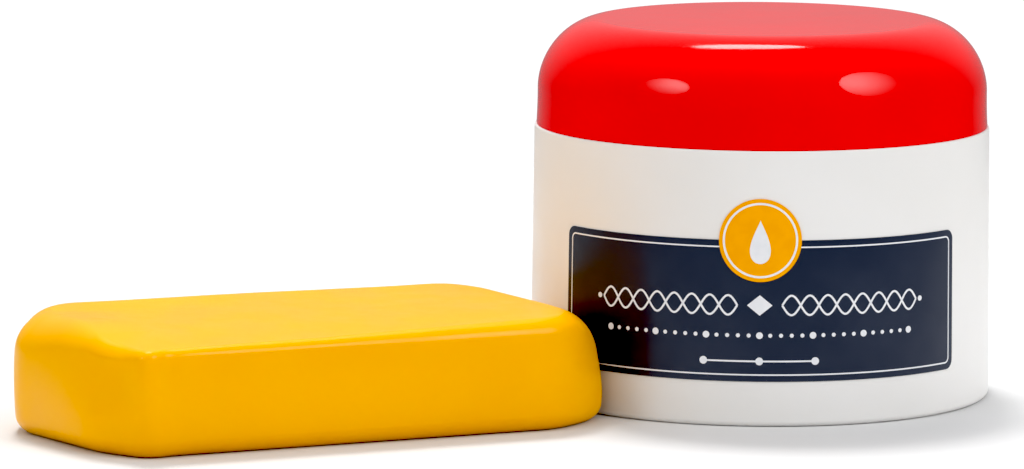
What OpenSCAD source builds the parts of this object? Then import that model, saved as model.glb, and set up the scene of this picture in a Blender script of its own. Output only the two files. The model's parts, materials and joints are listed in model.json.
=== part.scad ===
// Detailing clay bar with its storage jar.
// The jar stands at the origin with its label facing -Y; the loose bar lies in front and to the left of it.
// The jar is double walled: an inner cup with a threaded neck sits in an outer jar with a false bottom.
// The lid is a domed shell on a threaded insert, and a loose foam liner seals the neck.

/* [Jar] */
// Outside diameter of the jar at its base
jar_base_d = 96.6; // [96:0.2:100]
// Outside diameter of the jar at its shoulder
jar_top_d = 95.4; // [95:0.2:99]
// Height of the outer wall, from the base to the shoulder
jar_h = 56.6; // [50:0.2:70]
// Thickness of the outer wall and base
jar_wall = 1.8; // [1.4:0.1:2.2]
// Radius of the edge that the jar stands on
base_edge_r = 1.2; // [0.6:0.1:2]

/* [Cup] */
// Height of the cup's floor above the base, which leaves a false bottom
cup_floor_z = 12; // [6:1:20]
// Thickness of the cup's wall and floor
cup_wall = 2.05; // [1.6:0.05:2.4]
// Radius between the cup's floor and its wall
cup_fillet_r = 5; // [3:0.5:8]

/* [Neck and thread] */
// Diameter of the neck at the foot of its thread
neck_d = 80.5; // [80:0.1:81]
// Height of the neck above the shoulder
neck_h = 11.8; // [11.4:0.1:12.6]
// Diameter over the thread
thread_d = 83; // [82.8:0.1:83.2]
// Rise of the thread in one turn
thread_pitch = 5.08; // [5:0.01:5.2]
// Length of the neck's thread, in degrees
thread_angle = 450; // [400:10:450]

/* [Lid] */
// Outside diameter of the lid at its rim
lid_rim_d = 94.4; // [94.2:0.1:94.8]
// Outside diameter of the lid where its side meets the rounded shoulder
lid_side_d = 93.3; // [93.2:0.1:93.6]
// Height of the closed jar, to the top of the lid
closed_h = 78.7; // [78:0.1:84]
// Radius of the lid's rounded shoulder
lid_shoulder_r = 14; // [10:0.5:14]
// Thickness of the domed shell
lid_wall = 1.6; // [1.4:0.1:1.7]
// Thickness of the foam liner
liner_t = 1; // [0.8:0.1:1.4]

/* [Label] */
// Angle that the label covers round the front of the jar
label_angle = 110.6; // [60:0.2:120]
// Height of the label's lower edge above the base
label_z = 9.4; // [6:0.2:14]
// Height of the label
label_h = 29; // [20:0.5:32]
// Diameter of the round badge that stands over the label's upper edge
badge_d = 17; // [10:0.5:20]

/* [Clay bar] */
// Length of the bar
bar_length = 112; // [80:1:112]
// Width of the bar
bar_width = 56.6; // [50:0.2:60]
// Height of the bar along its front edge
bar_front_h = 23.6; // [20:0.2:26]
// Height of the bar along its back edge
bar_back_h = 25.2; // [20:0.2:26]
// Radius of the bar's corners, seen from above
bar_corner_r = 17.2; // [12:0.2:20]
// Radius along the top edges
bar_top_r = 10.6; // [4:0.2:11]
// Radius along the bottom edges
bar_foot_r = 4.2; // [1:0.2:6]
// How far the back edge is pushed along the bar from the front edge
bar_lean = 4.3; // [0:0.1:6]
// Turn of the bar, seen from above
bar_turn = 26.6; // [20:0.2:30]

/* [Hidden] */
$fn = 144;

// Centre of the bar's footprint
bar_at = [-92.7, -51.1];

jar_r = jar_base_d / 2;
shoulder_r = jar_top_d / 2;
jar_bevel = 0.4;
// The cup's shoulder drops into a step in the outer jar's rim
rim_lip = 0.9;
rim_step_h = 2;
rim_fit = 0.1;
// Shallow moulded ring under the base
base_ring_r = [30, 40];
base_ring_depth = 0.8;

// Overrun of a cut past the face that it opens
cut = 1;

neck_r = neck_d / 2;
neck_top_z = jar_h + neck_h;
neck_edge_r = 0.6;
cup_r = neck_r - cup_wall;

// Thread ridges: width at the root, width at the crest, and how far the root lies inside the wall
ridge_w = 2.4;
crest_w = 1.2;
ridge_root = 0.6;
// Angle between two sections of a ridge, angle over which its ends fade, and depth of a faded end
ridge_step = 7.5;
ridge_lead = 30;
ridge_hidden = 0.15;
thread_r = thread_d / 2;
// Height of the thread's start above the shoulder
thread_rise = 3.6;
thread_z = jar_h + thread_rise;
// Radial gaps between one thread's crest and the other's root
bore_gap = 0.35;
crest_gap = 0.45;
insert_bore_r = thread_r + bore_gap;
insert_crest_r = neck_r + crest_gap;
// Half the width of a ridge at a radius
function ridge_half(r, r_root, r_crest) = (ridge_w + (crest_w - ridge_w) * (r - r_root) / (r_crest - r_root)) / 2;
// Gap along the axis between the two threads' flanks, and how far below the neck's thread the lid's runs
flank_gap = 0.4;
flank_r = (insert_crest_r + thread_r) / 2;
ridge_drop = flank_gap
    + ridge_half(flank_r, neck_r - ridge_root, thread_r)
    + ridge_half(flank_r, insert_bore_r + ridge_root, insert_crest_r);
// The lid's thread starts above its rim and runs one turn
lid_thread_start = 90;
lid_thread_angle = 360;

lid_gap = 0.35;
lid_rim_z = jar_h + lid_gap;
lid_arc_z = closed_h - lid_shoulder_r;
seat_gap = 0.05;
liner_z = neck_top_z + seat_gap;
liner_r = insert_bore_r - bore_gap;

insert_wall = 2.15;
insert_r = insert_bore_r + insert_wall;
insert_foot_z = lid_rim_z + 0.5;
insert_top_z = liner_z + liner_t + seat_gap;
insert_top_t = 1.6;
insert_foot_t = 1.5;
// Bevel that keeps the insert's top edge clear of the dome's rounded inside
insert_bevel = 2;
// Splines on the insert stop the shell from turning on it
spline_count = 12;
spline_w = 1.6;
spline_root = 1;
shell_fit = 0.1;
// Rings inside the dome stand on the insert: their radii, thickness and reach into the dome's wall
dome_ring_r = [18, 36];
dome_ring_t = 1.2;
dome_ring_sunk = 0.2;

label_t = 0.25;
label_gap = 0.02;
label_corner_r = 1.8;

// Radius of the jar's outer wall at a height
function wall_r(z) = jar_r + (shoulder_r - jar_r) * (z - base_edge_r) / (jar_h - base_edge_r);

// Radius of the lid's outer side at a height
function lid_r(z) = lid_rim_d / 2 + (lid_side_d - lid_rim_d) / 2 * (z - lid_rim_z) / (lid_arc_z - lid_rim_z);

// One section of a ridge: inner radius and width, outer radius and width
function ridge_section(a, z, r_in, w_in, r_out, w_out) = [
    for (p = [[r_in, -w_in], [r_out, -w_out], [r_out, w_out], [r_in, w_in]])
        [p[0] * cos(a), p[0] * sin(a), z + p[1] / 2]
];

// A helical ridge whose ends fade into the wall; r_root lies in the wall and r_crest outside it
module ridge(start, length, z0, r_root, r_wall, r_crest) {
    steps = ceil(length / ridge_step);
    outward = r_crest > r_wall;
    r_faded = outward ? r_wall - ridge_hidden : r_wall + ridge_hidden;
    function angle(i) = start + length * i / steps;
    function full(i) = min(1, i * ridge_step / ridge_lead, (steps - i) * ridge_step / ridge_lead);
    function height(i) = z0 + thread_pitch * angle(i) / 360;
    function crest(i) = r_faded + (r_crest - r_faded) * full(i);
    points = [
        for (i = [0 : steps])
            each outward
                ? ridge_section(angle(i), height(i), r_root, ridge_w, crest(i), crest_w)
                : ridge_section(angle(i), height(i), crest(i), crest_w, r_root, ridge_w)
    ];
    sides = [
        for (i = [0 : steps - 1], k = [0 : 3])
            let (a = 4 * i + k, b = 4 * i + (k + 1) % 4)
                each [[a, b, b + 4], [a, b + 4, a + 4]]
    ];
    first = [[0, 3, 2], [0, 2, 1]];
    last = [for (f = [[0, 1, 2], [0, 2, 3]]) [for (k = f) 4 * steps + k]];
    polyhedron(points = points, faces = concat(first, sides, last));
}

// Upright rounded post at a corner of the bar
module bar_post(h) {
    rotate_extrude($fn = 64)
        intersection() {
            square([bar_corner_r, h]);
            hull() {
                translate([0, h - bar_top_r])
                    square([bar_corner_r - bar_top_r, bar_top_r]);
                square([bar_corner_r - bar_foot_r, bar_foot_r]);
                translate([bar_corner_r - bar_top_r, h - bar_top_r])
                    circle(r = bar_top_r, $fn = 48);
                translate([bar_corner_r - bar_foot_r, bar_foot_r])
                    circle(r = bar_foot_r, $fn = 32);
            }
        }
}

module outer_jar() {
    color("white")
        rotate_extrude()
            difference() {
                union() {
                    square([jar_r - base_edge_r, jar_h - jar_bevel]);
                    translate([jar_r - base_edge_r, base_edge_r])
                        circle(r = base_edge_r);
                    polygon([
                        [jar_r - base_edge_r, base_edge_r],
                        [jar_r, base_edge_r],
                        [wall_r(jar_h - jar_bevel), jar_h - jar_bevel],
                        [shoulder_r - jar_bevel, jar_h],
                        [shoulder_r - jar_wall - rim_lip, jar_h]
                    ]);
                }
                polygon([
                    [-cut, jar_wall],
                    [jar_r - jar_wall, jar_wall],
                    [wall_r(jar_h - rim_step_h) - jar_wall, jar_h - rim_step_h],
                    [shoulder_r - rim_lip, jar_h - rim_step_h],
                    [shoulder_r - rim_lip, jar_h + cut],
                    [-cut, jar_h + cut]
                ]);
                translate([base_ring_r[0], -cut])
                    square([base_ring_r[1] - base_ring_r[0], cut + base_ring_depth]);
            }
}

module inner_cup() {
    color("white")
        union() {
            rotate_extrude()
                difference() {
                    union() {
                        // Cup and neck
                        translate([0, cup_floor_z - cup_wall])
                            square([neck_r - cup_fillet_r, cup_fillet_r]);
                        translate([neck_r - cup_fillet_r, cup_floor_z - cup_wall + cup_fillet_r])
                            circle(r = cup_fillet_r);
                        translate([0, cup_floor_z - cup_wall + cup_fillet_r])
                            square([neck_r, neck_top_z - neck_edge_r - cup_floor_z + cup_wall - cup_fillet_r]);
                        translate([neck_r - neck_edge_r, neck_top_z - neck_edge_r])
                            circle(r = neck_edge_r);
                        translate([0, neck_top_z - neck_edge_r])
                            square([neck_r - neck_edge_r, neck_edge_r]);
                        // Shoulder
                        translate([0, jar_h - rim_step_h])
                            square([shoulder_r - rim_lip - rim_fit, rim_step_h]);
                    }
                    // Space for the clay
                    translate([-cut, cup_floor_z])
                        square([cup_r - cup_fillet_r + cut, cup_fillet_r + cut]);
                    translate([cup_r - cup_fillet_r, cup_floor_z + cup_fillet_r])
                        circle(r = cup_fillet_r);
                    translate([-cut, cup_floor_z + cup_fillet_r])
                        square([cup_r + cut, neck_top_z]);
                }
            ridge(0, thread_angle, thread_z, neck_r - ridge_root, neck_r, thread_r);
        }
}

module front_label() {
    half_w = jar_r * sin(label_angle / 2);
    top_z = label_z + label_h;
    color([0.1, 0.13, 0.2])
        intersection() {
            difference() {
                translate([0, 0, base_edge_r])
                    cylinder(
                        h = jar_h - base_edge_r,
                        r1 = jar_r + label_gap + label_t,
                        r2 = shoulder_r + label_gap + label_t
                    );
                translate([0, 0, base_edge_r])
                    cylinder(h = jar_h - base_edge_r, r1 = jar_r + label_gap, r2 = shoulder_r + label_gap);
            }
            rotate([90, 0, 0])
                linear_extrude(jar_base_d)
                    union() {
                        translate([-half_w, label_z + label_corner_r])
                            square([2 * half_w, label_h - 2 * label_corner_r]);
                        translate([-half_w + label_corner_r, label_z])
                            square([2 * (half_w - label_corner_r), label_h]);
                        for (x = [-1, 1], z = [label_z + label_corner_r, top_z - label_corner_r])
                            translate([x * (half_w - label_corner_r), z])
                                circle(r = label_corner_r);
                        translate([0, top_z])
                            circle(d = badge_d);
                    }
        }
}

module lid_shell() {
    inner_arc_r = lid_shoulder_r - lid_wall;
    dome_in_z = closed_h - lid_wall;
    side_r = lid_side_d / 2;
    arc_at = [side_r - lid_shoulder_r, lid_arc_z];
    ring_z = insert_top_z + insert_top_t;
    color("red")
        rotate_extrude()
            union() {
                difference() {
                    union() {
                        polygon([
                            [0, lid_rim_z],
                            [lid_rim_d / 2, lid_rim_z],
                            [side_r, lid_arc_z],
                            [0, lid_arc_z]
                        ]);
                        translate([0, lid_rim_z])
                            square([arc_at[0], closed_h - lid_rim_z]);
                        translate(arc_at)
                            circle(r = lid_shoulder_r);
                    }
                    polygon([
                        [-cut, 0],
                        [lid_rim_d / 2 - lid_wall, 0],
                        [lid_rim_d / 2 - lid_wall, lid_rim_z],
                        [side_r - lid_wall, lid_arc_z],
                        [-cut, lid_arc_z]
                    ]);
                    translate([-cut, 0])
                        square([arc_at[0] + cut, dome_in_z]);
                    translate(arc_at)
                        circle(r = inner_arc_r);
                }
                for (r = dome_ring_r)
                    translate([r, ring_z])
                        square([dome_ring_t, dome_in_z + dome_ring_sunk - ring_z]);
            }
}

module lid_insert() {
    top_z = insert_top_z + insert_top_t;
    color("white")
        union() {
            difference() {
                union() {
                    translate([0, 0, insert_foot_z])
                        cylinder(h = top_z - insert_bevel - insert_foot_z, r = insert_r);
                    translate([0, 0, top_z - insert_bevel])
                        cylinder(h = insert_bevel, r1 = insert_r, r2 = insert_r - insert_bevel);
                    translate([0, 0, insert_foot_z])
                        cylinder(h = insert_foot_t, r = lid_r(insert_foot_z + insert_foot_t) - lid_wall - shell_fit);
                    for (i = [0 : spline_count - 1])
                        rotate([0, 0, i * 360 / spline_count])
                            translate([insert_r - spline_root, -spline_w / 2, insert_foot_z])
                                cube([
                                    lid_side_d / 2 - lid_wall - shell_fit - insert_r + spline_root,
                                    spline_w,
                                    lid_arc_z - insert_foot_z
                                ]);
                }
                translate([0, 0, insert_foot_z - cut])
                    cylinder(h = insert_top_z - insert_foot_z + cut, r = insert_bore_r);
            }
            ridge(
                lid_thread_start,
                lid_thread_angle,
                thread_z - ridge_drop,
                insert_bore_r + ridge_root,
                insert_bore_r,
                insert_crest_r
            );
        }
}

module lid_liner() {
    color("whitesmoke")
        translate([0, 0, liner_z])
            cylinder(h = liner_t, r = liner_r);
}

module clay_bar() {
    x = bar_length / 2 - bar_corner_r;
    y = bar_width / 2 - bar_corner_r;
    color([0.95, 0.68, 0.02])
        translate([bar_at[0], bar_at[1], 0])
            rotate([0, 0, bar_turn])
                hull() {
                    for (side = [-1, 1], end = [-1, 1])
                        translate([end * x - side * bar_lean / 2, side * y, 0])
                            bar_post(side < 0 ? bar_front_h : bar_back_h);
                }
}

outer_jar();
inner_cup();
front_label();
lid_shell();
lid_insert();
lid_liner();
clay_bar();
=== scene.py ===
import json
import math
from typing import NamedTuple

import bmesh
import bpy
from mathutils import Matrix, Vector, noise

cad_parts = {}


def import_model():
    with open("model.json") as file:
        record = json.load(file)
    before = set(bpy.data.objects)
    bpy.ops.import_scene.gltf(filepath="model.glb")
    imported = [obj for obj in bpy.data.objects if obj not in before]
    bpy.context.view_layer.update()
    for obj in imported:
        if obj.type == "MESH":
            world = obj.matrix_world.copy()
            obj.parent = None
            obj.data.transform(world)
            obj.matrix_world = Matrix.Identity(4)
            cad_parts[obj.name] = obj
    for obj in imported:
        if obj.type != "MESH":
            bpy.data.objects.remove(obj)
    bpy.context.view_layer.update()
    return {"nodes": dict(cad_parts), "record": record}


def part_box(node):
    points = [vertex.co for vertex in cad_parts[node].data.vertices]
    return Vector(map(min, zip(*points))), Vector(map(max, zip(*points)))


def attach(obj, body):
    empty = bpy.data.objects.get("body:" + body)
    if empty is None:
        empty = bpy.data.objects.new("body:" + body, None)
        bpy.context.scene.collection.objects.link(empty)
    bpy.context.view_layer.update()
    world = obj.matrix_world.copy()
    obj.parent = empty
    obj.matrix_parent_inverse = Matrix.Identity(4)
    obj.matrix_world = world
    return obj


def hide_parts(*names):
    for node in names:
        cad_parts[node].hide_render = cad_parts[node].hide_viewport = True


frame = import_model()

# Looks, light and camera for a detailing clay bar and its screw-lid storage jar.
# Lengths are in metres; MM turns the millimetres that the sizes are given in into metres.
MM = 0.001
# Points closer than this become one
MERGE_DISTANCE = 1e-7
# Sides of a shape that is turned about Z
LATHE_SEGMENTS = 256

# Jar
JAR_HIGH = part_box("outer_jar")[1]
JAR_R = JAR_HIGH.x
JAR_TOP_R = JAR_R - 0.6 * MM
JAR_WALL = 1.8 * MM
JAR_BASE_EDGE = 1.2 * MM
JAR_RIM_EDGE = 0.4 * MM
JAR_FLOOR_EDGE = 0.8 * MM
# The cup's shoulder sits in a step inside the rim: its depth, the wall left outside it, and its two edges
CUP_STEP = 2 * MM
CUP_LIP = 0.9 * MM
CUP_STEP_EDGES = (0.15 * MM, 0.2 * MM)
# Inner and outer radius of the groove under the jar
BASE_RING = (30 * MM, 40 * MM)
BASE_RING_DEPTH = 0.8 * MM
# Radius of the edges that are only seen from below
HIDDEN_EDGE = 0.3 * MM

# Lid. Its side flares out at the rim almost to the jar's edge.
LID_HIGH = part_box("lid_shell")[1]
LID_SIDE_R = LID_HIGH.x - 0.12 * MM
LID_R = LID_HIGH.x + 0.1 * MM
LID_FLARE_H = 7 * MM
LID_FLARE_STEPS = 16
LID_WALL = 1.6 * MM
LID_RIM_EDGE = 0.08 * MM
# The rim comes down close over the jar's rim
LID_RIM_GAP = 0.01 * MM
# The rounded shoulder is a quarter of a superellipse
SHOULDER_W = 13.2 * MM
SHOULDER_H = 14.5 * MM
SHOULDER_POWER = 1.9
SHOULDER_STEPS = 48
# A ring inside the dome stands on the threaded insert
LID_RING_R = 18 * MM
LID_RING_T = 1.2 * MM

# Clay bar, in its own axes: x along it, y from front to back
BAR_LENGTH = 112 * MM
BAR_WIDTH = 56.6 * MM
BAR_LEAN = 4.3 * MM
BAR_TURN = math.radians(26.6)
BAR_CORNER_R = 17.2 * MM
BAR_FOOT_R = 3.6 * MM
# Height of the top's edge at the corners: front left, front right, back left and back right
BAR_EDGE_Z = (21.2 * MM, 23.3 * MM, 24.9 * MM, 24.1 * MM)
# Radius of the top's edge where each corner begins and ends, counter-clockwise from the front left
BAR_EDGE_R = ((3.6 * MM, 1.6 * MM), (3.4 * MM, 9 * MM), (8 * MM, 7 * MM), (7 * MM, 7.2 * MM))
# Rise of the top's middle over its edges
BAR_CROWN = 0.4 * MM
# The sides are widest at the swell's height. They tuck in below it, and draw in above it by the amounts that
# are given for the same corners as the heights, over a height of BAR_DRAW_H.
BAR_SWELL_Z = 8 * MM
BAR_TUCK = 0.3 * MM
BAR_DRAW_IN = (1.3 * MM, 1.3 * MM, 1.4 * MM, 1.3 * MM)
BAR_DRAW_H = 16 * MM
# Corners pressed out beyond their round outline, counter-clockwise from the front left: where round the
# corner, from 0 to 1, they are pressed out the most, and how far that is low down and high up
BAR_PRESS = (
    (0.66, 2 * MM, 2.8 * MM),
    (0.7, 2 * MM, 0.8 * MM),
    (0.5, 0, 0),
    (0.6, -1 * MM, -0.7 * MM),
)
# How quickly those two fade away from there: a higher power gives a sharper corner
BAR_PRESS_LOW_POWER, BAR_PRESS_HIGH_POWER = 3, 7
# Height at which low down begins to turn into high up, and the height over which it does
BAR_PRESS_Z, BAR_PRESS_H = 4 * MM, 14 * MM
# The top rises beside the left end: place of the rise's middle, its radius and height
BAR_RISE = (Vector((-55, -6)) * MM, 21 * MM, 1.9 * MM)
# Spacing of the bar's mesh, its steps round its foot, up its wall and round its top edge, and the rings
# that run in from the rims of its top and its underside
BAR_STEP = 1 * MM
BAR_FOOT_STEPS, BAR_WALL_STEPS, BAR_EDGE_STEPS = 8, 14, 14
BAR_TOP_RINGS, BAR_BASE_RINGS = 16, 8
# Unevenness from handling: the size, depth and shift of two noises, and the height over which they fade in
BAR_NOISES = ((30 * MM, 0.2 * MM, Vector((0, 0, 0))), (11 * MM, 0.05 * MM, Vector((7, 3, 1))))
BAR_FADE_H = 3 * MM
# Dents, and a bulge, pressed into the bar: place, radius and depth, in millimetres in its own axes
BAR_DENTS = (
    ((-50, -19, 15), 8, 1),
    ((-57, -9, 4), 15, -0.9),
    ((-26, 10, 25), 15, 0.12),
    ((14, 4, 25), 18, 0.12),
    ((-10, -29, 12), 16, 0.2),
    ((28, -29, 10), 12, 0.2),
    ((-8, -27, 0), 2.5, 0.9),
)

# Label, measured along the jar's wall and up from its base
LABEL_HALF = 46.6 * MM
LABEL_LOW = 9.4 * MM
LABEL_TOP = 38.4 * MM
LABEL_CORNER = 2 * MM
LABEL_STEP = 1 * MM
LABEL_ROWS = 8
LABEL_GAP = 0.02 * MM
LABEL_T = 0.12 * MM
INK_T = 0.04 * MM
# A thin line just inside the label's border
KEYLINE_INSET, KEYLINE_CORNER, KEYLINE_W = 1.4 * MM, 1.1 * MM, 0.3 * MM
# A round badge on the label's upper edge, with a ring and a drop on it
BADGE_R = 8.5 * MM
BADGE_RING_INSET, BADGE_RING_W = 1 * MM, 0.45 * MM
BADGE_DROP_R = 3 * MM
BADGE_SIDES = 96
# Ornament, from the top: a twisted cord on each side of a lozenge, a row of dots, and a short rule
CORD_Z, CORD_HEIGHT, CORD_WAVE, CORD_W = 25.1 * MM, 4 * MM, 7.6 * MM, 0.42 * MM
CORD_FROM, CORD_TO, CORD_STEPS = 4.6 * MM, 35 * MM, 160
CORD_END_GAP, CORD_END_R = 1.1 * MM, 0.55 * MM
LOZENGE_HALF_W, LOZENGE_HALF_H, LOZENGE_STEP = 2.6 * MM, 2.1 * MM, 0.5 * MM
DOTS_Z, DOTS, DOT_STEP = 18.9 * MM, 15, 2.2 * MM
DOT_R, BIG_DOT_R, BIG_DOT_EVERY = 0.42 * MM, 0.7 * MM, 5
RULE_Z, RULE_HALF, RULE_W, RULE_DOT_R = 13.6 * MM, 11.5 * MM, 0.35 * MM, 0.8 * MM

# Floor and backdrop. The floor is small and round, so that the lid's side reflects the smooth sky beyond it.
FLOOR_R = 0.37
FLOOR_SIDES = 128
SKY_HORIZON = 0.34
SKY_ZENITH = 1
SKY_TINT = (0.99, 0.995, 1.01, 1)
BACKDROP = 1.05

# Lights, all at one distance from the point that they are aimed at
LIGHT_AT = 2.4
LIGHT_AIM = Vector((0, 0, 0.06))
# A hot spot's strength, the strength that it fades to, and how far off that is, in widths of the light
HOT_STRENGTH, HOT_REST, HOT_REACH = 2.6, 0.25, 0.8

# Camera: its place, its pitch, yaw and roll in degrees, its lens and sensor in millimetres, and how near and
# far it sees
CAMERA_AT = (0, -1.3713, 0.2224)
CAMERA_TURN = (-7.880, 2.186, 0.301)
CAMERA_LENS = 231.05
CAMERA_SENSOR = 36
CAMERA_CLIP = (0.05, 200)
# Level that the picture shows as black
BLACK_LEVEL = 0.05


def rgb(red, green, blue):
    """A colour given as 0 to 255 on screen, as the linear colour that shaders take."""
    def linear(value):
        value /= 255
        return value / 12.92 if value <= 0.04045 else ((value + 0.055) / 1.055) ** 2.4
    return (linear(red), linear(green), linear(blue), 1)


# ---------------------------------------------------------------- materials


def map_range(nodes, start, end, low, high, kind="SMOOTHSTEP"):
    """A node that maps start..end to low..high."""
    made = nodes.new("ShaderNodeMapRange")
    made.interpolation_type = kind
    for socket, number in (("From Min", start), ("From Max", end), ("To Min", low), ("To Max", high)):
        made.inputs[socket].default_value = number
    return made


# The part of a noise's range that most of its values lie in
NOISE_MIDDLE = (0.35, 0.65)


class Surface:
    """A procedural material: two tones and a roughness that drift over the surface, and fine relief."""

    def __init__(self, name, sockets):
        self.material = bpy.data.materials.new(name)
        self.material.use_nodes = True
        self.nodes = self.material.node_tree.nodes
        self.shader = self.nodes["Principled BSDF"]
        for socket, value in sockets.items():
            self.shader.inputs[socket].default_value = value
        self.place = self.nodes.new("ShaderNodeTexCoord").outputs["Object"]

    def link(self, source, target):
        self.material.node_tree.links.new(source, target)

    def noise(self, size, detail=3):
        """Noise whose features are about size metres across, from 0 to 1."""
        texture = self.nodes.new("ShaderNodeTexNoise")
        texture.inputs["Scale"].default_value = 1 / size
        texture.inputs["Detail"].default_value = detail
        self.link(self.place, texture.inputs["Vector"])
        return texture.outputs["Fac"]

    def spread(self, value, low, high):
        """Spreads the middle of a noise's range over low..high."""
        ramp = map_range(self.nodes, *NOISE_MIDDLE, low, high)
        self.link(value, ramp.inputs["Value"])
        return ramp.outputs["Result"]

    def tones(self, size, first, second):
        """Base colour that drifts between two tones, in patches about size metres across."""
        mix = self.nodes.new("ShaderNodeMix")
        mix.data_type = "RGBA"
        mix.inputs["A"].default_value = first
        mix.inputs["B"].default_value = second
        self.link(self.spread(self.noise(size), 0, 1), mix.inputs["Factor"])
        self.link(mix.outputs["Result"], self.shader.inputs["Base Color"])

    def roughness(self, size, low, high):
        """Roughness that drifts from low to high, in patches about size metres across."""
        self.link(self.spread(self.noise(size), low, high), self.shader.inputs["Roughness"])

    def relief(self, *layers):
        """Bump layers, each a feature size and a depth."""
        normal = None
        for size, depth in layers:
            bump = self.nodes.new("ShaderNodeBump")
            bump.inputs["Distance"].default_value = depth
            self.link(self.noise(size, detail=2), bump.inputs["Height"])
            if normal is not None:
                self.link(normal, bump.inputs["Normal"])
            normal = bump.outputs["Normal"]
        self.link(normal, self.shader.inputs["Normal"])


def white_plastic(name, first, second):
    """Injection-moulded white polypropylene: satin, faintly translucent, with a fine moulded texture."""
    sockets = {
        "IOR": 1.49,
        "Specular IOR Level": 0.28,
        "Subsurface Weight": 0.12,
        "Subsurface Radius": (1.0, 0.9, 0.8),
        "Subsurface Scale": 1.5 * MM,
    }
    made = Surface(name, sockets)
    made.tones(35 * MM, first, second)
    made.roughness(12 * MM, 0.34, 0.44)
    made.relief((0.5 * MM, 0.006 * MM), (9 * MM, 0.02 * MM))
    return made.material


def red_plastic():
    """Polished red lid."""
    made = Surface("lid_red_gloss", {"IOR": 1.5, "Specular IOR Level": 0.38})
    made.tones(30 * MM, (0.86, 0.0, 0.0, 1), (0.83, 0.0, 0.0, 1))
    made.roughness(7 * MM, 0.06, 0.11)
    made.relief((6 * MM, 0.012 * MM), (0.7 * MM, 0.0006 * MM))
    return made.material


def clay():
    """Kneadable clay: homogeneous, slightly translucent and glossy where it has been pressed smooth."""
    sockets = {
        "IOR": 1.5,
        "Specular IOR Level": 0.4,
        "Subsurface Weight": 0.2,
        "Subsurface Radius": (1.0, 0.55, 0.1),
        "Subsurface Scale": 2.5 * MM,
    }
    made = Surface("clay_yellow", sockets)
    made.tones(22 * MM, (0.875, 0.422, 0.0, 1), (0.86, 0.407, 0.0, 1))
    made.roughness(12 * MM, 0.29, 0.36)
    made.relief((8 * MM, 0.03 * MM), (1.6 * MM, 0.003 * MM), (0.3 * MM, 0.001 * MM))
    return made.material


def label_film():
    """Navy film with a clear laminate over it."""
    made = Surface("label_navy_film", {"IOR": 1.5})
    made.tones(20 * MM, rgb(51, 57, 72), rgb(48, 54, 69))
    made.roughness(5 * MM, 0.2, 0.26)
    made.relief((4 * MM, 0.006 * MM), (0.3 * MM, 0.0008 * MM))
    return made.material


def ink(name, first, second):
    made = Surface(name, {"IOR": 1.5})
    made.tones(3 * MM, first, second)
    made.roughness(2 * MM, 0.3, 0.4)
    made.relief((0.25 * MM, 0.001 * MM))
    return made.material


def foam():
    """Closed-cell foam of the sealing disc."""
    made = Surface("liner_white_foam", {"IOR": 1.45, "Specular IOR Level": 0.25})
    made.tones(6 * MM, (0.8, 0.8, 0.78, 1), (0.74, 0.74, 0.72, 1))
    made.roughness(1.5 * MM, 0.7, 0.85)
    made.relief((0.4 * MM, 0.05 * MM))
    return made.material


def floor_paper():
    made = Surface("floor_paper", {"Specular IOR Level": 0.1})
    made.tones(80 * MM, (0.68, 0.68, 0.68, 1), (0.67, 0.67, 0.67, 1))
    made.roughness(40 * MM, 0.8, 0.9)
    return made.material


# ---------------------------------------------------------------- shape helpers


def put(name, data):
    """A new object in the scene."""
    made = bpy.data.objects.new(name, data)
    bpy.context.scene.collection.objects.link(made)
    return made


def piece(name, points, faces, material, body, slot, stands_for=None, crease=35):
    """A piece of the object from its points and faces, smooth but for edges sharper than crease degrees."""
    mesh = bpy.data.meshes.new(name)
    work = bmesh.new()
    corners = [work.verts.new(p) for p in points]
    for face in faces:
        work.faces.new([corners[i] for i in face])
    bmesh.ops.remove_doubles(work, verts=work.verts, dist=MERGE_DISTANCE)
    bmesh.ops.recalc_face_normals(work, faces=work.faces)
    for face in work.faces:
        face.smooth = True
    work.to_mesh(mesh)
    work.free()
    mesh.set_sharp_from_angle(angle=math.radians(crease))
    mesh.materials.append(material)
    made = put(name, mesh)
    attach(made, body)
    if stands_for:
        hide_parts(stands_for)
    return made


def rounded(corners, step=math.radians(9)):
    """A closed outline through corners given as (x, y, radius), with its arcs in steps of at most step."""
    outline = []
    for i, (x, y, radius) in enumerate(corners):
        here = Vector((x, y))
        if not radius:
            outline.append(here)
            continue
        before = (Vector(corners[i - 1][:2]) - here).normalized()
        after = (Vector(corners[(i + 1) % len(corners)][:2]) - here).normalized()
        half = before.angle(after) / 2
        centre = here + (before + after).normalized() * (radius / math.sin(half))
        first = here + before * (radius / math.tan(half)) - centre
        last = here + after * (radius / math.tan(half)) - centre
        turn = first.angle_signed(last)
        steps = max(3, math.ceil(abs(turn) / step))
        for k in range(steps + 1):
            angle = -turn * k / steps
            outline.append(centre + Matrix.Rotation(angle, 2) @ first)
    return outline


def lathe(profile, segments=LATHE_SEGMENTS):
    """Points and faces of a closed (radius, height) profile turned about Z."""
    points, faces, rings = [], [], []
    # A profile point on the axis stays a single point, and the faces that meet there are triangles
    for radius, height in profile:
        count = segments if radius > MERGE_DISTANCE else 1
        rings.append([len(points) + i for i in range(count)])
        for i in range(count):
            angle = 2 * math.pi * i / segments
            points.append((radius * math.cos(angle), radius * math.sin(angle), height))
    for ring, following in zip(rings, rings[1:] + rings[:1]):
        for i in range(segments):
            j = (i + 1) % segments
            inner = [ring[i % len(ring)], ring[j % len(ring)]]
            outer = [following[j % len(following)], following[i % len(following)]]
            face = list(dict.fromkeys(inner + outer))
            if len(face) > 2:
                faces.append(face)
    return points, faces


def rounded_box(half, low, high, radius):
    return rounded([(-half, low, radius), (half, low, radius), (half, high, radius), (-half, high, radius)])


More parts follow.
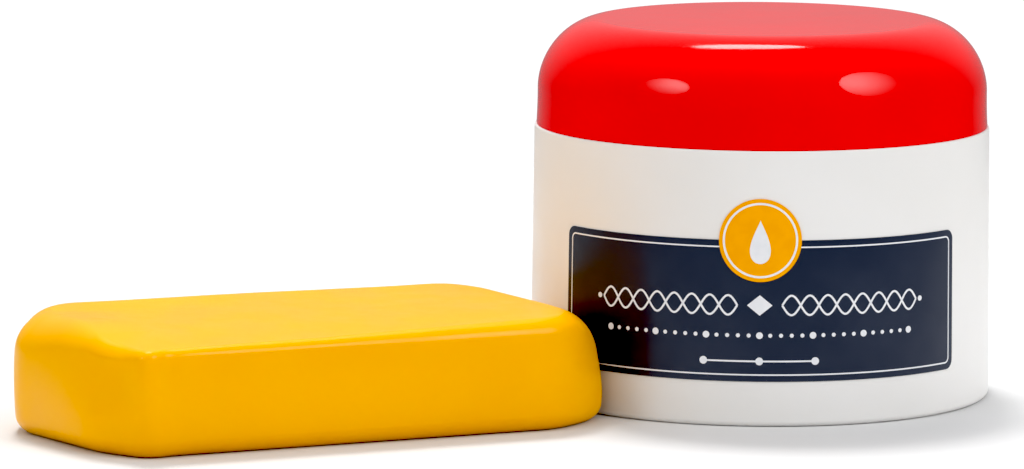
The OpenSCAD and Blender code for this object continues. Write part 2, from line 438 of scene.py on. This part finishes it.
def circle(centre, radius, count):
    turns = [2 * math.pi * i / count for i in range(count)]
    return [(centre[0] + radius * math.cos(turn), centre[1] + radius * math.sin(turn)) for turn in turns]


def between(start, end, count):
    """Points from start to end along a straight line, in count steps."""
    start, end = Vector(start), Vector(end)
    return [start.lerp(end, i / count) for i in range(count + 1)]


def evenly(start, end, step):
    """Points from start to end along a straight line, about step apart."""
    return between(start, end, max(1, round((Vector(end) - Vector(start)).length / step)))


def dense(outline, step):
    """A closed outline with points added along its long edges."""
    path = []
    for here, following in zip(outline, outline[1:] + outline[:1]):
        path += evenly(here, following, step)[:-1]
    return path


def smooth(value):
    """0 to 1 without a kink at either end, for a value from 0 to 1 and beyond."""
    value = min(1, max(0, value))
    return value * value * (3 - 2 * value)


# ---------------------------------------------------------------- jar and lid


def jar_wall_r(z):
    """Radius of the jar's outer wall at a height."""
    return JAR_R + (JAR_TOP_R - JAR_R) * (z - JAR_BASE_EDGE) / (JAR_HIGH.z - JAR_BASE_EDGE)


def outer_jar(material):
    top = JAR_HIGH.z
    step_r = JAR_TOP_R - CUP_LIP
    corners = [
        (0, 0, 0),
        (BASE_RING[0], 0, HIDDEN_EDGE),
        (BASE_RING[0], BASE_RING_DEPTH, HIDDEN_EDGE),
        (BASE_RING[1], BASE_RING_DEPTH, HIDDEN_EDGE),
        (BASE_RING[1], 0, HIDDEN_EDGE),
        (JAR_R, 0, JAR_BASE_EDGE),
        (JAR_TOP_R, top, JAR_RIM_EDGE),
        (step_r, top, CUP_STEP_EDGES[0]),
        (step_r, top - CUP_STEP, CUP_STEP_EDGES[1]),
        (jar_wall_r(top - CUP_STEP) - JAR_WALL, top - CUP_STEP, HIDDEN_EDGE),
        (JAR_R - JAR_WALL, JAR_WALL, JAR_FLOOR_EDGE),
        (0, JAR_WALL, 0),
    ]
    piece("jar_outer_wall", *lathe(rounded(corners)), material, "jar", "jar_plastic", "outer_jar")


def shoulder(width, height, centre_r, centre_z, steps):
    """The lid's rounded shoulder, from its side to its top."""
    curve = []
    for i in range(steps + 1):
        angle = math.pi / 2 * i / steps
        across = math.cos(angle) ** (2 / SHOULDER_POWER) if i < steps else 0
        up = math.sin(angle) ** (2 / SHOULDER_POWER)
        curve.append((centre_r + width * across, centre_z + height * up))
    return curve


def lid_dome(material):
    """The lid's shell: its rim and flared side, its shoulder and top, and the ring inside it."""
    low, top = JAR_HIGH.z + LID_RIM_GAP, LID_HIGH.z
    centre_r = LID_SIDE_R - SHOULDER_W
    centre_z = top - SHOULDER_H
    inside_top = top - LID_WALL
    ring_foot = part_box("lid_insert")[1].z
    inside_r = LID_HIGH.x - LID_WALL
    # The last two corners only give the rim's edges their directions, and are cut off again
    rim = rounded([
        (inside_r, low, HIDDEN_EDGE),
        (LID_R, low, LID_RIM_EDGE),
        (LID_R, centre_z, 0),
        (inside_r, centre_z, 0),
    ])[:-2]
    for k in range(LID_FLARE_STEPS + 1):
        up = k / LID_FLARE_STEPS
        rim.append((LID_SIDE_R + (LID_R - LID_SIDE_R) * (1 - up) ** 2, low + LID_RIM_EDGE + LID_FLARE_H * up))
    outside = shoulder(SHOULDER_W, SHOULDER_H, centre_r, centre_z, SHOULDER_STEPS)
    inside = shoulder(SHOULDER_W - LID_WALL, SHOULDER_H - LID_WALL, centre_r, centre_z, SHOULDER_STEPS // 2)
    underside = [
        (LID_RING_R + LID_RING_T, inside_top),
        (LID_RING_R + LID_RING_T, ring_foot),
        (LID_RING_R, ring_foot),
        (LID_RING_R, inside_top),
        (0, inside_top),
    ]
    profile = rim + outside + [(0, top)] + (inside + underside)[::-1]
    piece("lid_dome", *lathe(profile), material, "lid", "lid_plastic", "lid_shell")


# ---------------------------------------------------------------- label

# Size of the hub at the middle of a filled shape, as a part of the first ring round it
HUB = 0.02


def on_wall(x, z, lift):
    """A point x metres round the wall from the front, at height z, standing lift metres off the wall."""
    angle = x / JAR_R
    radius = jar_wall_r(z) + lift
    return (radius * math.sin(angle), -radius * math.cos(angle), z)


class Plates:
    """Thin curved plates on the jar's wall, from low to high off it, gathered into one piece."""

    def __init__(self, low, high):
        self.low, self.high = low, high
        self.points, self.faces = [], []

    def add(self, rows, closed=False):
        """A plate whose surface is a grid of (x, z) rows. A closed plate's rows are loops."""
        width = len(rows[0])
        quads = width if closed else width - 1
        count = len(rows) * width
        start = len(self.points)
        for lift in (self.high, self.low):
            self.points += [on_wall(x, z, lift) for row in rows for x, z in row]

        def at(layer, i, j):
            return start + layer * count + i * width + j % width

        last = len(rows) - 1
        for i in range(last):
            for j in range(quads):
                for layer in (0, 1):
                    corners = ((i, j), (i + 1, j), (i + 1, j + 1), (i, j + 1))
                    self.faces.append([at(layer, *corner) for corner in corners])
        edges = [(i, j, i, j + 1) for i in (0, last) for j in range(quads)]
        if not closed:
            edges += [(i, j, i + 1, j) for j in (0, width - 1) for i in range(last)]
        for i, j, k, m in edges:
            self.faces.append([at(0, i, j), at(0, k, m), at(1, k, m), at(1, i, j)])

    def ribbon(self, path, width, closed=False):
        """A ribbon along a path of (x, z) points."""
        sides = ([], [])
        count = len(path)
        for i, here in enumerate(path):
            before = path[i - 1] if i or closed else here
            after = path[(i + 1) % count] if i + 1 < count or closed else here
            along = (Vector(after) - Vector(before)).normalized()
            across = Vector((-along.y, along.x)) * width / 2
            sides[0].append(Vector(here) + across)
            sides[1].append(Vector(here) - across)
        self.add(list(sides), closed)

    def disc(self, outline, centre, rings=1):
        """A filled shape, by rings that grow from a small one round its centre."""
        centre = Vector(centre)
        rows = [[centre + (Vector(p) - centre) * k / rings for p in outline] for k in range(1, rings + 1)]
        hub = [centre + (p - centre) * HUB for p in rows[0]]
        self.add([hub] + rows, closed=True)
        start = len(self.points) - 2 * len(outline) * (rings + 1)
        for layer in (0, 1):
            first = start + layer * len(outline) * (rings + 1)
            self.faces.append([first + j for j in range(len(outline))])

    def dot(self, centre, radius, count=24):
        """A filled circle."""
        self.disc(circle(centre, radius, count), centre)


def drop(centre, radius, count=48):
    """Outline of a drop with its point upwards."""
    outline = []
    for i in range(count):
        angle = 2 * math.pi * i / count
        across = radius * math.sin(angle) * math.sin(angle / 2) ** 1.4
        outline.append((centre[0] + across, centre[1] + radius * 1.5 * math.cos(angle) - 0.1 * radius))
    return outline


def ornament(ink_plates):
    """A twisted cord, a row of dots and a short rule, one below the other, centred on the label."""
    for side in (-1, 1):
        for phase in (0, math.pi):
            cord = []
            for i in range(CORD_STEPS + 1):
                x = CORD_FROM + (CORD_TO - CORD_FROM) * i / CORD_STEPS
                rise = math.sin(2 * math.pi * (x - CORD_FROM) / CORD_WAVE + phase)
                cord.append((side * x, CORD_Z + CORD_HEIGHT / 2 * rise))
            ink_plates.ribbon(cord, CORD_W)
        ink_plates.dot((side * (CORD_TO + CORD_END_GAP), CORD_Z), CORD_END_R)
    lozenge = [
        (LOZENGE_HALF_W, CORD_Z),
        (0, CORD_Z + LOZENGE_HALF_H),
        (-LOZENGE_HALF_W, CORD_Z),
        (0, CORD_Z - LOZENGE_HALF_H),
    ]
    ink_plates.disc(dense(lozenge, LOZENGE_STEP), (0, CORD_Z), rings=3)
    for i in range(-DOTS, DOTS + 1):
        ink_plates.dot((i * DOT_STEP, DOTS_Z), DOT_R if i % BIG_DOT_EVERY else BIG_DOT_R, 20)
    ink_plates.ribbon(evenly((-RULE_HALF, RULE_Z), (RULE_HALF, RULE_Z), LABEL_STEP), RULE_W)
    for x in (-RULE_HALF, 0, RULE_HALF):
        ink_plates.dot((x, RULE_Z), RULE_DOT_R)


def panel_columns():
    """Columns of points across the label, closer together at its rounded corners."""
    columns = []
    arc = [LABEL_HALF - LABEL_CORNER * (1 - math.sin(math.radians(a))) for a in range(0, 91, 10)]
    straight = [p.x for p in evenly((-arc[0], 0), (arc[0], 0), LABEL_STEP)]
    for x in [-a for a in arc[:0:-1]] + straight + arc[1:]:
        past = max(0, abs(x) - (LABEL_HALF - LABEL_CORNER))
        inset = LABEL_CORNER - math.sqrt(max(0, LABEL_CORNER ** 2 - past ** 2))
        columns.append(between((x, LABEL_LOW + inset), (x, LABEL_TOP - inset), LABEL_ROWS))
    return columns


def label(film, pale_ink, badge_ink):
    """The printed panel on the jar's front. Each ink stands slightly proud of what it is printed on."""
    panel = Plates(LABEL_GAP, LABEL_GAP + LABEL_T)
    panel.add(panel_columns())
    piece("label_panel", panel.points, panel.faces, film, "jar", "label_film", "front_label", crease=30)

    print_low = LABEL_GAP + LABEL_T - INK_T / 2
    print_high = LABEL_GAP + LABEL_T + INK_T
    pale = Plates(print_low, print_high)
    keyline = rounded_box(
        LABEL_HALF - KEYLINE_INSET, LABEL_LOW + KEYLINE_INSET, LABEL_TOP - KEYLINE_INSET, KEYLINE_CORNER
    )
    pale.ribbon(dense(keyline, LABEL_STEP), KEYLINE_W, closed=True)
    ornament(pale)
    piece("label_print", pale.points, pale.faces, pale_ink, "jar", "label_film", crease=30)

    badge_at = (0, LABEL_TOP)
    badge = Plates(LABEL_GAP, print_high + INK_T)
    badge.disc(circle(badge_at, BADGE_R, BADGE_SIDES), badge_at, rings=8)
    piece("label_badge", badge.points, badge.faces, badge_ink, "jar", "label_film", crease=30)
    mark = Plates(print_high + INK_T / 2, print_high + 2 * INK_T)
    mark.ribbon(circle(badge_at, BADGE_R - BADGE_RING_INSET, BADGE_SIDES), BADGE_RING_W, closed=True)
    mark.disc(drop(badge_at, BADGE_DROP_R), badge_at, rings=4)
    piece("label_badge_mark", mark.points, mark.faces, pale_ink, "jar", "label_film", crease=30)


# ---------------------------------------------------------------- clay bar


def bar_centres():
    """Centres of the bar's four corners seen from above, counter-clockwise from the front left."""
    half_x = BAR_LENGTH / 2 - BAR_CORNER_R
    half_y = BAR_WIDTH / 2 - BAR_CORNER_R
    return [
        Vector((-half_x + BAR_LEAN / 2, -half_y)),
        Vector((half_x + BAR_LEAN / 2, -half_y)),
        Vector((half_x - BAR_LEAN / 2, half_y)),
        Vector((-half_x - BAR_LEAN / 2, half_y)),
    ]


def outward(start, end):
    """Direction of the outward normal of a side that runs counter-clockwise from start to end."""
    along = end - start
    return math.atan2(-along.x, along.y)


class Column(NamedTuple):
    """One column of points up the bar's side, in a plane through centre along normal."""

    centre: Vector
    normal: Vector
    # Radius of the top's edge
    edge_r: float
    # How far the side is pressed out low down and high up
    press: tuple = (0, 0)


def bar_columns(centres):
    """Columns round the bar's outline. The columns of a corner share their centre."""
    columns = []
    for i, here in enumerate(centres):
        following = centres[(i + 1) % 4]
        first, last = outward(centres[i - 1], here), outward(here, following)
        turn = (last - first) % (2 * math.pi)
        steps = round(BAR_CORNER_R * turn / BAR_STEP)
        begin_r, end_r = BAR_EDGE_R[i]
        peak, low, high = BAR_PRESS[i]
        for k in range(steps):
            t = k / steps
            angle = first + turn * t
            # The edge's radius changes over the middle half of the corner
            edge_r = begin_r + (end_r - begin_r) * smooth((t - 0.25) / 0.5)
            # 0 at the corner's two ends and 1 at the peak
            weight = math.sin(math.pi * t ** (math.log(0.5) / math.log(peak)))
            press = (low * weight ** BAR_PRESS_LOW_POWER, high * weight ** BAR_PRESS_HIGH_POWER)
            columns.append(Column(here, Vector((math.cos(angle), math.sin(angle))), edge_r, press))
        normal = Vector((math.cos(last), math.sin(last)))
        along = evenly(here, following, BAR_STEP)[:-1]
        following_r = BAR_EDGE_R[(i + 1) % 4][0]
        for k, centre in enumerate(along):
            columns.append(Column(centre, normal, end_r + (following_r - end_r) * k / len(along)))
    return columns


def over_bar(corners, x, y):
    """A value between those given at the bar's corners, in the order of BAR_EDGE_Z."""
    u = min(1, max(0, x / BAR_LENGTH + 0.5))
    v = min(1, max(0, y / BAR_WIDTH + 0.5))
    front = corners[0] * (1 - u) + corners[1] * u
    back = corners[2] * (1 - u) + corners[3] * u
    return front * (1 - v) + back * v


def bar_top(x, y):
    """Height of the bar's top, without its rounded edges."""
    middle = math.cos(math.pi * x / BAR_LENGTH) * math.cos(math.pi * y / BAR_WIDTH)
    place, radius, height = BAR_RISE
    away = (Vector((x, y)) - place).length / radius
    return over_bar(BAR_EDGE_Z, x, y) + BAR_CROWN * max(0, middle) + height * math.exp(-2 * away * away)


def bar_side(x, y, z):
    """How far the bar's side is drawn in at a place."""
    above = max(0, (z - BAR_SWELL_Z) / BAR_DRAW_H)
    return over_bar(BAR_DRAW_IN, x, y) * above ** 2 + BAR_TUCK * (1 - smooth(z / BAR_SWELL_Z))


def bar_profile():
    """Stations up the bar's side: angles round its foot, parts of its wall and angles round its top edge."""
    foot = [("foot", math.pi / 2 * k / BAR_FOOT_STEPS) for k in range(BAR_FOOT_STEPS + 1)]
    wall = [("wall", k / BAR_WALL_STEPS) for k in range(1, BAR_WALL_STEPS)]
    edge = [("edge", math.pi / 2 * k / BAR_EDGE_STEPS) for k in range(BAR_EDGE_STEPS + 1)]
    return foot + wall + edge


def bar_point(column, kind, value):
    """The point of a column at one of bar_profile's stations."""
    outline = column.centre + column.normal * BAR_CORNER_R
    wall_top = bar_top(outline.x, outline.y) - column.edge_r
    if kind == "foot":
        inset = BAR_FOOT_R * (1 - math.sin(value))
        z = BAR_FOOT_R * (1 - math.cos(value))
    elif kind == "wall":
        inset = 0
        z = BAR_FOOT_R + (wall_top - BAR_FOOT_R) * value
    else:
        inset = column.edge_r * (1 - math.cos(value))
        z = wall_top + column.edge_r * math.sin(value)
    inset += bar_side(outline.x, outline.y, z)
    low, high = column.press
    inset -= low + (high - low) * smooth((z - BAR_PRESS_Z) / BAR_PRESS_H)
    flat = column.centre + column.normal * (BAR_CORNER_R - inset)
    return Vector((flat.x, flat.y, z))


def clay_bar(material):
    """The hand-shaped bar: rings of points up its side, a filled top and underside, and a dented surface."""
    centres = bar_centres()
    columns = bar_columns(centres)
    width = len(columns)
    stations = bar_profile()
    points, faces = [], []
    for kind, value in stations:
        points += [bar_point(column, kind, value) for column in columns]

    def join(low, high):
        """Quads between two rings of points."""
        for j in range(width):
            k = (j + 1) % width
            faces.append([low + j, low + k, high + k, high + j])

    for i in range(len(stations) - 1):
        join(i * width, (i + 1) * width)

    def fill(ring, count, height):
        """Fills the face inside a ring: count rings in to the corners' centres, then a grid between those.

        The innermost ring lies on the grid's border, and piece() merges the two.
        """
        edge = ring * width
        border = [points[edge + j].copy() for j in range(width)]
        previous = edge
        for s in range(1, count + 1):
            start = len(points)
            for column, outer in zip(columns, border):
                flat = Vector((outer.x, outer.y)).lerp(column.centre, s / count)
                over = outer.z - height(outer.x, outer.y)
                z = height(flat.x, flat.y) + over * (1 - smooth(s / count))
                points.append(Vector((flat.x, flat.y, z)))
            join(previous, start)
            previous = start
        rows = len(evenly(centres[1], centres[2], BAR_STEP)) - 1
        across = len(evenly(centres[0], centres[1], BAR_STEP)) - 1
        start = len(points)
        for i in range(rows + 1):
            for j in range(across + 1):
                front = centres[0].lerp(centres[1], j / across)
                back = centres[3].lerp(centres[2], j / across)
                flat = front.lerp(back, i / rows)
                points.append(Vector((flat.x, flat.y, height(flat.x, flat.y))))
        for i in range(rows):
            for j in range(across):
                a = start + i * (across + 1) + j
                faces.append([a, a + 1, a + across + 2, a + across + 1])

    fill(len(stations) - 1, BAR_TOP_RINGS, bar_top)
    fill(0, BAR_BASE_RINGS, lambda x, y: 0)

    made = piece("clay_bar_body", points, faces, material, "clay_bar", "clay", "clay_bar", crease=180)
    sculpt_bar(made.data)
    at = [m["pos_m"] for m in frame["record"]["mounts"] if m["name"] == "bar_base"][0]
    made.data.transform(Matrix.Translation(at) @ Matrix.Rotation(BAR_TURN, 4, "Z"))


def sculpt_bar(mesh):
    """Hand-pressed unevenness: broad swells and shallow dents, fading out at the flat underside."""
    for vertex in mesh.vertices:
        here = vertex.co.copy()
        rise = sum(noise.noise(here / size + shift) * depth for size, depth, shift in BAR_NOISES)
        for place, radius, depth in BAR_DENTS:
            away = (here - Vector(place) * MM).length / (radius * MM)
            rise -= depth * MM * math.exp(-away * away * 2)
        vertex.co = here + vertex.normal * rise * smooth(here.z / BAR_FADE_H)


# ---------------------------------------------------------------- stage


def stage(floor_material):
    mesh = bpy.data.meshes.new("floor")
    edge = [(x, y, 0) for x, y in circle((0, 0), FLOOR_R, FLOOR_SIDES)]
    mesh.from_pydata(edge, [], [list(range(len(edge)))])
    mesh.materials.append(floor_material)
    put("floor", mesh)


def softbox(name, azimuth, elevation, width, height, radiance, seen=True, hot=None):
    """An oval light aimed at the object from LIGHT_AT away, its size in degrees as the object sees it.

    Azimuth 0 is in front, at -Y, and 90 on the right, at +X. An unseen light has no reflection. A light with
    a hot spot, given from (0, 0) to (1, 1) across it, fades away from there.
    """
    data = bpy.data.lights.new(name, "AREA")
    data.shape = "ELLIPSE"
    data.size = 2 * LIGHT_AT * math.tan(math.radians(width / 2))
    data.size_y = 2 * LIGHT_AT * math.tan(math.radians(height / 2))
    data.energy = radiance * math.pi * (math.pi / 4 * data.size * data.size_y)
    lamp = put(name, data)
    a, e = math.radians(azimuth), math.radians(elevation)
    towards = Vector((math.sin(a) * math.cos(e), -math.cos(a) * math.cos(e), math.sin(e)))
    lamp.visible_glossy = seen
    lamp.visible_camera = False
    if hot:
        data.use_nodes = True
        nodes, links = data.node_tree.nodes, data.node_tree.links
        away = nodes.new("ShaderNodeVectorMath")
        away.operation = "DISTANCE"
        links.new(nodes.new("ShaderNodeNewGeometry").outputs["Parametric"], away.inputs[0])
        away.inputs[1].default_value = (*hot, 0)
        fade = map_range(nodes, 0, HOT_REACH, HOT_STRENGTH, HOT_REST)
        links.new(away.outputs["Value"], fade.inputs["Value"])
        links.new(fade.outputs["Result"], nodes["Emission"].inputs["Strength"])
    lamp.location = LIGHT_AIM + towards * LIGHT_AT
    lamp.rotation_mode = "QUATERNION"
    lamp.rotation_quaternion = towards.to_track_quat("Z", "Y")


def lights():
    """A key light and a streak light from behind, and a softbox with an unseen fill on each side."""
    # Name, azimuth, elevation, width and height in degrees, and radiance
    softbox("key", 197, 64, 14, 14, 38, seen=False)
    softbox("streak_light", 188, 67, 22, 12, 10)
    softbox("left_softbox", 305, 27, 26, 24, 2.4, hot=(0.75, 0.8))
    softbox("left_fill", 292, 18, 40, 30, 0.75, seen=False)
    softbox("right_softbox", 64, 31, 32, 34, 2.4, hot=(0.25, 0.7))
    softbox("right_fill", 72, 18, 40, 30, 0.95, seen=False)


def world():
    """A pale studio, brighter overhead, before a plain white backdrop."""
    made = bpy.data.worlds.new("studio")
    bpy.context.scene.world = made
    made.use_nodes = True
    nodes, links = made.node_tree.nodes, made.node_tree.links
    background = nodes["Background"]
    background.inputs["Color"].default_value = SKY_TINT
    split = nodes.new("ShaderNodeSeparateXYZ")
    links.new(nodes.new("ShaderNodeTexCoord").outputs["Generated"], split.inputs["Vector"])
    sky = map_range(nodes, 0, 1, SKY_HORIZON, SKY_ZENITH, kind="LINEAR")
    links.new(split.outputs["Z"], sky.inputs["Value"])
    choose = nodes.new("ShaderNodeMix")
    links.new(nodes.new("ShaderNodeLightPath").outputs["Is Camera Ray"], choose.inputs["Factor"])
    links.new(sky.outputs["Result"], choose.inputs["A"])
    choose.inputs["B"].default_value = BACKDROP
    links.new(choose.outputs["Result"], background.inputs["Strength"])


def grade():
    """Plain display colours, with the contrast of a product photograph."""
    view = bpy.context.scene.view_settings
    view.view_transform = "Standard"
    view.use_curve_mapping = True
    view.curve_mapping.black_level = (BLACK_LEVEL,) * 3
    view.curve_mapping.update()


def camera():
    """The camera stands 1.37 m in front of the jar and 0.22 m up, looking slightly down and to the left."""
    data = bpy.data.cameras.new("camera")
    data.sensor_width = CAMERA_SENSOR
    data.lens = CAMERA_LENS
    data.clip_start, data.clip_end = CAMERA_CLIP
    made = put("camera", data)
    made.location = CAMERA_AT
    pitch, yaw, roll = (math.radians(a) for a in CAMERA_TURN)
    made.rotation_mode = "XYZ"
    aim = Matrix.Rotation(yaw, 4, "Z") @ Matrix.Rotation(math.pi / 2 + pitch, 4, "X")
    made.rotation_euler = (aim @ Matrix.Rotation(roll, 4, "Z")).to_euler()
    bpy.context.scene.camera = made


# ---------------------------------------------------------------- assembly


def main():
    white = white_plastic("jar_white", (0.79, 0.78, 0.76, 1), (0.81, 0.8, 0.785, 1))
    natural = white_plastic("cup_white", (0.78, 0.78, 0.76, 1), (0.8, 0.8, 0.785, 1))
    outer_jar(white)
    lid_dome(red_plastic())
    label(
        label_film(),
        ink("ink_pale", rgb(232, 233, 236), rgb(226, 228, 232)),
        ink("ink_amber", rgb(246, 168, 10), rgb(242, 163, 8)),
    )
    clay_bar(clay())
    for name, material in (("inner_cup", natural), ("lid_insert", natural), ("lid_liner", foam())):
        node = frame["nodes"][name]
        node.data.materials.clear()
        node.data.materials.append(material)

    stage(floor_paper())
    world()
    lights()
    grade()
    camera()


main()
